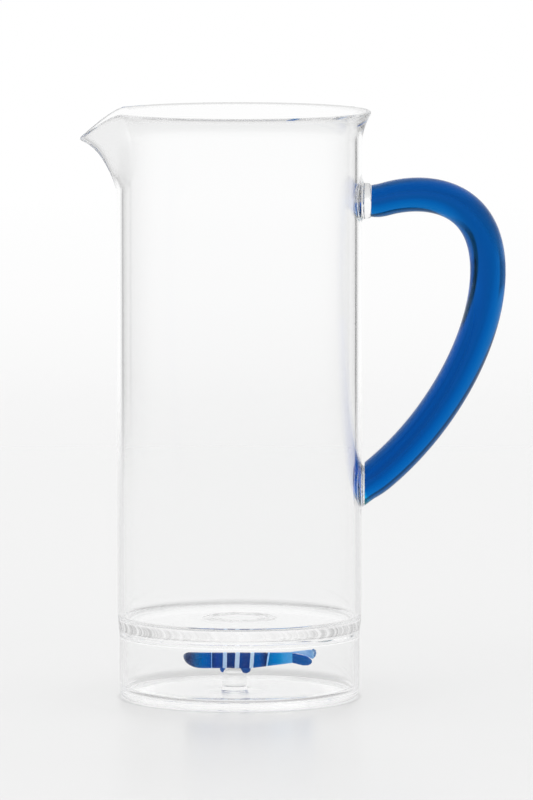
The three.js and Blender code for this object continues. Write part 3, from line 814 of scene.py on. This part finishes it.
GLASS_IOR = 1.47
CLEAR_TINT = (0.989, 0.99, 0.99, 1)
CLEAR_GLEAM = 0.05
THREAD_TINT = (0.12, 0.25, 0.5, 1)
HANDLE_GLEAM = (0.02, 0.35, 0.7, 1)
HANDLE_BLUE = (0.12, 0.73, 0.926, 1)
HANDLE_DENSITY = 400.0
FIGURE_GLEAM = (0.1, 0.3, 0.6, 1)
# Painted glow of the figure's glass, standing for light shining through it
FIGURE_PAINTED_GLOW = 0.56
FIGURE_ROUGHNESS = 0.06
SPECK_SCALE = 1400.0
SPECK_RANGE = (0.42, 0.66)

# Unevenness of each glass: waves to the metre, then their height in metres
CLEAR_WAVES = (28.0, 0.000004)
THREAD_WAVES = (400.0, 0.00001)
HANDLE_WAVES = (60.0, 0.00001)
FIGURE_WAVES = (900.0, 0.00001)

# The drawn-in band of the weld, in millimetres, and the painted shade that greys its outer skin: how much
# light it lets through by the distance from the middle plane, in metres, darker towards the left and right
# sides
WELD_LOW = 28.8
WELD_MIDDLE = 31.5
WELD_HIGH = 34.2
WELD_FADE = 1
WELD_SKIN = 50.5
WELD_SKIN_FADE = 0.5
WELD_SIDE_SHADE = [(0, 0.92), (0.025, 0.76), (0.04, 0.42), (0.052, 0.3)]
# Painted highlights: pale crescents where the painted shade is lifted, how many round, how they bend,
# their noise range and the grey left in them
CRESCENTS_ROUND = 19.0
CRESCENT_BEND = 150000.0
CRESCENT_RANGE = (0.38, 0.66)
CRESCENT_GREY = 0.15

# Painted light and shade in the rod's blue, by the way that its skin faces, from its upper inner side to
# its lower outer one: lighter and darker bands that stand for the bright and dark surroundings seen
# through it
ROD_PAINTED_LIGHT = [
    (-1, (0.05, 0.4, 0.6, 1)), (-0.76, (0.05, 0.34, 0.64, 1)), (-0.68, (0.05, 0.42, 0.92, 1)),
    (-0.55, (0.2, 0.38, 0.86, 1)), (-0.42, (0.6, 0.46, 0.85, 1)), (-0.25, (1.0, 0.34, 0.56, 1)),
    (-0.08, (1.0, 0.35, 0.5, 1)), (0, (0.5, 0.38, 0.51, 1)), (0.09, (0.2, 0.41, 0.53, 1)),
    (0.25, (0.05, 0.73, 0.8, 1)), (0.42, (0.03, 1.0, 0.95, 1)), (0.6, (0.03, 1.0, 0.9, 1)),
    (0.66, (0.02, 0.1, 0.09, 1)), (0.73, (0.02, 0.1, 0.09, 1)), (0.8, (0.03, 0.3, 0.3, 1)),
    (1, (0.05, 0.4, 0.3, 1)),
]
PAINTED_LIGHT_FACING = (0.45, 0.0, -0.89)

# The painted dark line of shade on the inner side of the bend, where that edge shows dark surroundings:
# heights in millimetres, and the sideways facing of the skin at its upper and lower end
DARK_EDGE_TOP = 200
DARK_EDGE_BOTTOM = 162
DARK_FADE_TOP = 8
DARK_FADE_BOTTOM = 6
DARK_FACING_TOP = -0.52
DARK_FACING_BOTTOM = -0.92
DARK_WIDTH = 0.16
DARK_EDGE_SHADE = (0.3, 0.06, 0.05, 1)


def new_material(name):
    material = bpy.data.materials.new(name)
    material.use_nodes = True
    tree = material.node_tree
    return material, tree, tree.nodes["Principled BSDF"]


def add_node(tree, kind, inputs=None, **settings):
    node = tree.nodes.new(kind)
    for key, value in settings.items():
        setattr(node, key, value)
    for key, value in (inputs or {}).items():
        if isinstance(value, bpy.types.NodeSocket):
            tree.links.new(value, node.inputs[key])
        else:
            node.inputs[key].default_value = value
    return node


def math_node(tree, operation, *values):
    return add_node(tree, "ShaderNodeMath", dict(enumerate(values)), operation=operation).outputs[0]


def map_range(tree, value, low, high, start=0.0, end=1.0, **settings):
    """Takes a value between low and high to one between start and end."""
    return add_node(tree, "ShaderNodeMapRange", {
        "Value": value, "From Min": low, "From Max": high, "To Min": start, "To Max": end,
    }, **settings).outputs["Result"]


def mix_colours(tree, factor, first, second, blend="MIX"):
    return add_node(tree, "ShaderNodeMix", {
        0: factor, 6: first, 7: second,
    }, data_type="RGBA", blend_type=blend).outputs[2]


def colour_ramp(tree, value, table):
    """Ramp through a table of rows (value, colour)."""
    start, end = table[0][0], table[-1][0]
    ramp = add_node(tree, "ShaderNodeValToRGB", {"Fac": map_range(tree, value, start, end)})
    elements = ramp.color_ramp.elements
    while len(elements) < len(table):
        elements.new(0.5)
    for element, (place, colour) in zip(elements, table):
        element.position = (place - start) / (end - start)
        element.color = colour
    return ramp.outputs["Color"]


def grey_ramp(tree, value, table):
    """Ramp through a table of rows (value, brightness)."""
    return colour_ramp(tree, value, [(place, (grey, grey, grey, 1)) for place, grey in table])


def object_place(tree):
    return add_node(tree, "ShaderNodeTexCoord").outputs["Object"]


def axes_of(tree, vector):
    return add_node(tree, "ShaderNodeSeparateXYZ", {0: vector}).outputs


def length_of(tree, vector):
    return add_node(tree, "ShaderNodeVectorMath", {0: vector}, operation="LENGTH").outputs["Value"]


def srgb(red, green, blue):
    """Linear colour from the usual 0 to 255 values."""
    linear = []
    for value in (red, green, blue):
        value /= 255
        linear.append(value / 12.92 if value <= 0.04045 else ((value + 0.055) / 1.055) ** 2.4)
    return (*linear, 1.0)


def new_group(name, inputs, output, kind):
    """Group with number inputs and one output, and its entry and exit nodes."""
    group = bpy.data.node_groups.new(name, "ShaderNodeTree")
    for label in inputs:
        group.interface.new_socket(label, in_out="INPUT", socket_type="NodeSocketFloat")
    group.interface.new_socket(output, in_out="OUTPUT", socket_type=kind)
    return group, add_node(group, "NodeGroupInput").outputs, add_node(group, "NodeGroupOutput").inputs


def wave_group():
    """Very slight unevenness that flame-worked glass has, as a normal."""
    group, entry, leave = new_group("flame_waves", ("Scale", "Height"), "Normal", "NodeSocketVector")
    waves = add_node(group, "ShaderNodeTexNoise", {
        "Vector": object_place(group), "Scale": entry["Scale"], "Detail": 1.0,
    })
    bump = add_node(group, "ShaderNodeBump", {
        "Height": waves.outputs["Fac"], "Distance": entry["Height"], "Strength": 1.0,
    })
    group.links.new(bump.outputs["Normal"], leave["Normal"])
    return group


def speckle_group():
    """Mask of fine specks and soft streaks in coloured glass."""
    group, entry, leave = new_group("glass_specks", ("Scale", "Amount"), "Mask", "NodeSocketFloat")
    specks = add_node(group, "ShaderNodeTexNoise", {
        "Vector": object_place(group), "Scale": entry["Scale"], "Detail": 3.0,
    })
    spread_out = map_range(group, specks.outputs["Fac"], *SPECK_RANGE)
    group.links.new(math_node(group, "MULTIPLY", spread_out, entry["Amount"]), leave["Mask"])
    return group


FLAME_WAVES = wave_group()
GLASS_SPECKS = speckle_group()


def glass_surface(name, waves, roughness, gleam):
    """New material with the polish and the unevenness that every glass here has."""
    material, tree, shader = new_material(name)
    shader.inputs["Roughness"].default_value = roughness
    shader.inputs["IOR"].default_value = GLASS_IOR
    shader.inputs["Specular Tint"].default_value = gleam
    uneven = add_node(tree, "ShaderNodeGroup", {
        "Scale": waves[0], "Height": waves[1],
    }, node_tree=FLAME_WAVES)
    tree.links.new(uneven.outputs["Normal"], shader.inputs["Normal"])
    return material, tree, shader


def clear_glass_material(name, waves, tint, gleam):
    material, tree, shader = glass_surface(name, waves, 0.0, (gleam, gleam, gleam, 1))
    shader.inputs["Base Color"].default_value = tint
    shader.inputs["Transmission Weight"].default_value = 1.0
    return material, tree, shader


def weld_painted_shade(tree):
    """Colour of the clear glass with painted shade on the band of the weld, darker towards its sides, and
    painted highlights as pale crescents in it.
    """
    x, y, z = axes_of(tree, object_place(tree))
    # Painted shade: the band greys towards its left and right sides
    grey = grey_ramp(tree, math_node(tree, "ABSOLUTE", x), WELD_SIDE_SHADE)
    lift = math_node(tree, "SUBTRACT", z, WELD_MIDDLE * MM)
    bent = math_node(tree, "MULTIPLY", math_node(tree, "MULTIPLY", lift, lift), CRESCENT_BEND)
    turn = math_node(tree, "ARCTAN2", x, math_node(tree, "MULTIPLY", y, -1.0))
    painted_light = add_node(tree, "ShaderNodeTexNoise", {
        "W": math_node(tree, "MULTIPLY_ADD", turn, CRESCENTS_ROUND, bent),
        "Scale": 1.0, "Detail": 3.0, "Roughness": 0.6,
    }, noise_dimensions="1D")
    # Painted highlights: pale crescents where the painted shade is lifted
    mask = map_range(tree, painted_light.outputs[0], *CRESCENT_RANGE, 1.0, CRESCENT_GREY)
    level = add_node(tree, "ShaderNodeCombineXYZ", {"X": x, "Y": y}).outputs[0]
    skin = map_range(tree, length_of(tree, level), (WELD_SKIN - WELD_SKIN_FADE) * MM, WELD_SKIN * MM)
    above = map_range(tree, z, WELD_LOW * MM, (WELD_LOW + WELD_FADE) * MM)
    below = map_range(tree, z, (WELD_HIGH - WELD_FADE) * MM, WELD_HIGH * MM, 1.0, 0.0)
    for part in (skin, above, below):
        mask = math_node(tree, "MULTIPLY", mask, part)
    return mix_colours(tree, mask, CLEAR_TINT, grey)


def vessel_glass_material():
    material, tree, shader = clear_glass_material(
        "clear_borosilicate", CLEAR_WAVES, CLEAR_TINT, CLEAR_GLEAM,
    )
    tree.links.new(weld_painted_shade(tree), shader.inputs["Base Color"])
    return material


def painted_dark_edge(tree, normal):
    """1 in the middle of the painted dark line of shade, 0 beside it."""
    z = axes_of(tree, object_place(tree))["Z"]
    low, high = DARK_EDGE_BOTTOM * MM, DARK_EDGE_TOP * MM
    middle = map_range(tree, z, low, high, DARK_FACING_BOTTOM, DARK_FACING_TOP)
    off = math_node(tree, "SUBTRACT", axes_of(tree, normal)["X"], middle)
    beside = math_node(tree, "ABSOLUTE", off)
    across = map_range(tree, beside, DARK_WIDTH / 2, DARK_WIDTH, 1.0, 0.0)
    above = map_range(tree, z, low - DARK_FADE_BOTTOM * MM, low)
    below = map_range(tree, z, high, high + DARK_FADE_TOP * MM, 1.0, 0.0)
    return math_node(tree, "MULTIPLY", math_node(tree, "MULTIPLY", above, below), across)


def handle_glass_material():
    material, tree, shader = glass_surface("blue_handle_glass", HANDLE_WAVES, 0.0, HANDLE_GLEAM)
    normal = add_node(tree, "ShaderNodeNewGeometry").outputs["Normal"]
    facing = add_node(tree, "ShaderNodeVectorMath", {0: normal, 1: PAINTED_LIGHT_FACING}, operation="DOT_PRODUCT")
    # Painted light and shade: the rod's blue is lighter or darker by the facing of its skin
    painted_light = colour_ramp(tree, facing.outputs["Value"], ROD_PAINTED_LIGHT)
    # Painted shade: a dark line along the inner edge of the bend
    tint = mix_colours(tree, painted_dark_edge(tree, normal), painted_light, DARK_EDGE_SHADE)
    tree.links.new(tint, shader.inputs["Base Color"])
    shader.inputs["Transmission Weight"].default_value = 1.0
    absorb = add_node(tree, "ShaderNodeVolumeAbsorption", {
        "Color": HANDLE_BLUE, "Density": HANDLE_DENSITY,
    })
    tree.links.new(absorb.outputs[0], tree.nodes["Material Output"].inputs["Volume"])
    return material


def banded_material(name, stops, speck_colour, speck_amount):
    """Dense glass whose colour changes along the figure, with specks of another colour, and a painted glow
    of the same colour that stands for light shining through it.

    Each stop is a place along the figure in millimetres and its colour, from 0 to 255.
    """
    material, tree, shader = glass_surface(name, FIGURE_WAVES, FIGURE_ROUGHNESS, FIGURE_GLEAM)
    along = axes_of(tree, object_place(tree))["X"]
    bands = colour_ramp(tree, along, [(place * MM, srgb(*colour)) for place, *colour in stops])
    specks = add_node(tree, "ShaderNodeGroup", {
        "Scale": SPECK_SCALE, "Amount": speck_amount,
    }, node_tree=GLASS_SPECKS)
    colour = mix_colours(tree, specks.outputs["Mask"], bands, srgb(*speck_colour))
    tree.links.new(colour, shader.inputs["Base Color"])
    # Painted glow: the figure's colours shine as light, standing for light passing through the glass
    tree.links.new(colour, shader.inputs["Emission Color"])
    shader.inputs["Emission Strength"].default_value = FIGURE_PAINTED_GLOW
    return material


VESSEL_GLASS = vessel_glass_material()
HANDLE_GLASS = handle_glass_material()
THREAD_GLASS = clear_glass_material("clear_thread", THREAD_WAVES, THREAD_TINT, 1.0)[0]
NAVY = banded_material("speckled_navy_glass", [
    (-24.2, 110, 122, 150), (-22.9, 56, 66, 96), (-21.3, 58, 68, 106), (-20, 44, 76, 124),
    (-18.7, 34, 90, 146), (-17, 10, 92, 162),
], (24, 32, 60), 0.45)
BLUE = banded_material("banded_blue_glass", [
    (-17.2, 8, 91, 160), (-16.1, 2, 90, 166), (-14.8, 3, 86, 160), (-13, 6, 80, 160),
    (-11.6, 26, 54, 112), (-9.7, 28, 60, 142), (-8, 24, 66, 138), (-5, 34, 54, 106),
    (-3.2, 24, 50, 112), (0.4, 16, 62, 132), (1.9, 34, 60, 126), (3.6, 28, 54, 120),
    (6.6, 4, 78, 148), (8.4, 10, 80, 158), (9.7, 22, 63, 130), (11.2, 28, 46, 94),
], (34, 44, 96), 0.2)
SKY = banded_material("sky_blue_glass", [
    (12.4, 6, 102, 164), (14.8, 0, 114, 188), (16.1, 4, 120, 190), (17.4, 22, 132, 196),
    (18.7, 46, 140, 202), (20, 62, 148, 210), (22.5, 80, 156, 210),
], (0, 86, 150), 0.2)
DEEP = banded_material("deep_blue_glass", [
    (22, 46, 100, 160), (23.4, 28, 80, 148), (27, 22, 84, 152), (30, 28, 86, 156), (31.5, 44, 96, 150),
], (20, 50, 112), 0.35)
PALE = banded_material("pale_blue_glass", [
    (22, 120, 165, 214), (28, 146, 182, 224), (30.5, 112, 156, 206), (32, 130, 172, 206),
], (96, 132, 184), 0.4)
BEAD = banded_material("bead_glass", [
    (-8, 40, 78, 150), (4, 28, 60, 126),
], (70, 120, 180), 0.3)
OPAL = banded_material("opal_white_glass", [
    (-13, 92, 146, 212), (-9, 150, 184, 222), (-4, 178, 198, 222), (6.5, 180, 202, 224),
    (12.5, 150, 196, 240),
], (150, 172, 200), 0.4)


# Stage, light and camera

WHITE = (1, 1, 1, 1)

# Brightness of the surroundings by height: z of the direction, then brightness
BACKDROP = [
    (-0.139, 0.89), (-0.1186, 0.897), (-0.1125, 0.905), (-0.1064, 0.92), (-0.1004, 0.93),
    (-0.0943, 0.955), (-0.0882, 0.977), (-0.0797, 0.99), (-0.076, 1.0),
]

# Dark gaps of the light tent, seen only in the edges of the glass: degrees to the right
# of the camera's own direction, then brightness
TENT = [
    (-180, 0.8), (-90, 0.8), (-72, 0.55), (-45, 0.55), (-36, 0.48), (-30.5, 0.38), (-29, 0.7),
    (-27.5, 0.95), (-24, 1.0), (22, 1.0), (27, 0.92), (28.5, 0.8), (30.5, 0.04), (33, 0.04),
    (35.5, 0.6), (45, 0.65), (70, 0.55), (90, 0.8), (180, 0.8),
]

# How much of the table's brightness the edges of the glass show, by the same angle
TABLE = [
    (-180, 0.92), (-60, 0.92), (-34, 0.85), (-30, 0.74), (-20, 0.9), (-8, 0.95), (-3, 1.0),
    (3, 1.0), (8, 0.95), (20, 0.9), (30, 0.7), (34, 0.85), (60, 0.92), (180, 0.92),
]

# Painted light and shade on the table: a painted pool of light under the foot, a painted dark contact ring
# at its edge and the even glow beyond; distance from its middle in metres, then glow
PAINTED_POOL_AND_RING = [
    (0, 0.4), (0.036, 0.44), (0.041, 0.66), (0.0465, 0.66), (0.048, 0.44), (0.0503, 0.4),
    (0.0512, 0.14), (0.053, 0.24), (0.07, 0.22), (0.2, 0.2),
]

# The table: its radius and where it fades out in metres, its drop in millimetres
TABLE_RADIUS = 2.2
TABLE_FADE = (0.7, 1.5)
TABLE_DROP = 0.3
TABLE_GREY = (0.52, 0.52, 0.52, 1)
TABLE_ROUGHNESS = 0.24

# The edges of the glass see the tent below this height of the direction, and over it an
# even ceiling that is a little darker in front
CEILING_START = -0.04
CEILING_FRONT = (-0.9, 0.85)
CEILING_BACK = (-0.3, 0.97)

# What a ray's count is above once it has met a surface, and once it has left both walls
ONE_SURFACE = 0.5
BOTH_WALLS = 3.5

# Camera and lamp, in metres and degrees
CAMERA_PLACE = (0.0116, -3.5002, 0.4809)
CAMERA_TILT = 5.76
CAMERA_LENS = 369
CAMERA_SENSOR = 36
CAMERA_REACH = 20
LAMP_PLACE = (-0.9, -0.9, 1.6)
LAMP_AIM = (0, 0, 0.12)
LAMP_SIZE = 0.8
LAMP_POWER = 1.5


def bearing(tree, axes):
    """Degrees to the right of the camera's own direction."""
    return math_node(tree, "DEGREES", math_node(tree, "ARCTAN2", axes["X"], axes["Y"]))


def glass_edge(tree):
    """1 for what shows in the edges of the glass: bent through one wall only, or reflected."""
    path = add_node(tree, "ShaderNodeLightPath").outputs
    through = math_node(tree, "GREATER_THAN", path["Transmission Depth"], ONE_SURFACE)
    both_walls = math_node(tree, "GREATER_THAN", path["Transmission Depth"], BOTH_WALLS)
    glossy = math_node(tree, "GREATER_THAN", path["Glossy Depth"], ONE_SURFACE)
    return math_node(tree, "MAXIMUM", math_node(tree, "SUBTRACT", through, both_walls), glossy)


def table_material():
    """Pale, slightly glossy, and fading out to the white surroundings."""
    material, tree, shader = new_material("pale_table")
    place = object_place(tree)
    sides = grey_ramp(tree, bearing(tree, axes_of(tree, place)), TABLE)
    shade = mix_colours(tree, glass_edge(tree), WHITE, sides)
    distance = length_of(tree, place)
    base = mix_colours(tree, 1.0, TABLE_GREY, shade, "MULTIPLY")
    # Painted pool of light under the foot and painted dark contact ring round it
    glow = mix_colours(tree, 1.0, shade, grey_ramp(tree, distance, PAINTED_POOL_AND_RING), "MULTIPLY")
    tree.links.new(base, shader.inputs["Base Color"])
    tree.links.new(glow, shader.inputs["Emission Color"])
    shader.inputs["Emission Strength"].default_value = 1.0
    shader.inputs["Roughness"].default_value = TABLE_ROUGHNESS
    fade = map_range(tree, distance, *TABLE_FADE, interpolation_type="SMOOTHSTEP")
    backfacing = add_node(tree, "ShaderNodeNewGeometry").outputs["Backfacing"]
    clear = add_node(tree, "ShaderNodeBsdfTransparent")
    mix = add_node(tree, "ShaderNodeMixShader", {
        0: math_node(tree, "MAXIMUM", fade, backfacing), 1: shader.outputs[0], 2: clear.outputs[0],
    })
    tree.links.new(mix.outputs[0], tree.nodes["Material Output"].inputs["Surface"])
    return material


def build_table():
    start_fresh()
    bpy.ops.mesh.primitive_circle_add(
        vertices=96, radius=TABLE_RADIUS, fill_type="NGON", location=(0, 0, -TABLE_DROP * MM),
    )
    bpy.ops.object.mode_set(mode="EDIT")
    table = finish_piece("floor")
    table.data.materials.append(table_material())
    return table


def build_world():
    world = bpy.data.worlds.new("light_tent")
    bpy.context.scene.world = world
    world.use_nodes = True
    tree = world.node_tree
    axes = axes_of(tree, add_node(tree, "ShaderNodeTexCoord").outputs["Generated"])
    backdrop = grey_ramp(tree, axes["Z"], BACKDROP)
    gaps = grey_ramp(tree, bearing(tree, axes), TENT)
    overhead = map_range(tree, axes["Z"], CEILING_START, 0.0)
    ceiling = map_range(
        tree, axes["Y"], CEILING_FRONT[0], CEILING_BACK[0], CEILING_FRONT[1], CEILING_BACK[1],
    )
    tent = mix_colours(tree, overhead, gaps, ceiling)
    seen = mix_colours(tree, glass_edge(tree), backdrop, tent)
    path = add_node(tree, "ShaderNodeLightPath").outputs
    diffuse = math_node(tree, "GREATER_THAN", path["Diffuse Depth"], ONE_SURFACE)
    lit = mix_colours(tree, diffuse, seen, WHITE)
    tree.links.new(lit, tree.nodes["Background"].inputs["Color"])


def build_camera():
    data = bpy.data.cameras.new("camera")
    data.lens = CAMERA_LENS
    data.sensor_width = CAMERA_SENSOR
    data.clip_end = CAMERA_REACH
    camera = bpy.data.objects.new("camera", data)
    bpy.context.scene.collection.objects.link(camera)
    camera.location = CAMERA_PLACE
    camera.rotation_euler = (math.radians(90 - CAMERA_TILT), 0, 0)
    bpy.context.scene.camera = camera


def build_lamp():
    data = bpy.data.lights.new("softbox", "AREA")
    data.shape = "RECTANGLE"
    data.size = LAMP_SIZE
    data.size_y = LAMP_SIZE
    data.energy = LAMP_POWER
    lamp = bpy.data.objects.new("softbox", data)
    bpy.context.scene.collection.objects.link(lamp)
    lamp.location = LAMP_PLACE
    lamp.rotation_euler = (Vector(LAMP_AIM) - lamp.location).to_track_quat("-Z", "Y").to_euler()


# The whole scene

VESSEL_NODES = (
    "spout_rim", "vessel_wall", "vessel_floor", "weld_ring", "base_skirt", "base_disc",
    "upper_pad", "upper_collar", "lower_pad", "figure_stem",
)
LIGHT_BOUNCES = 256


def finish(piece, material, slot, *nodes):
    """Gives a piece its material, hangs it under the root body and hides the imported parts that it stands
    for.
    """
    piece.data.materials.clear()
    piece.data.materials.append(material)
    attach(piece, "root")
    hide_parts(*nodes)


finish(build_vessel(), VESSEL_GLASS, "clear_glass", *VESSEL_NODES)
finish(build_handle(), HANDLE_GLASS, "handle_glass", "handle")
finish(build_head(), NAVY, "figure_navy", "figure_head")
finish(build_body(), BLUE, "figure_blue", "figure_body")
for number, (middle, width, slant) in enumerate(TRAILS, 1):
    finish(build_trail(number, middle, width, slant), OPAL, "trail_white", f"white_trail_{number}")
finish(build_shank(), SKY, "figure_sky", "tail_shank")
lower_lobe, upper_lobe = build_lobes()
finish(lower_lobe, DEEP, "figure_blue", "tail_lower_lobe")
finish(upper_lobe, PALE, "figure_pale", "tail_upper_lobe")
finish(build_curl(), THREAD_GLASS, "clear_glass", "tail_curl")
for bead, flatness in (("small_bead", 1.0), ("large_bead", LARGE_BEAD_FLATNESS)):
    finish(build_bead(bead, flatness), BEAD, "figure_blue", bead)

build_table()
build_world()
build_lamp()
build_camera()

scene = bpy.context.scene
scene.view_settings.view_transform = "Standard"
scene.cycles.max_bounces = LIGHT_BOUNCES
scene.cycles.transmission_bounces = LIGHT_BOUNCES
scene.cycles.glossy_bounces = LIGHT_BOUNCES
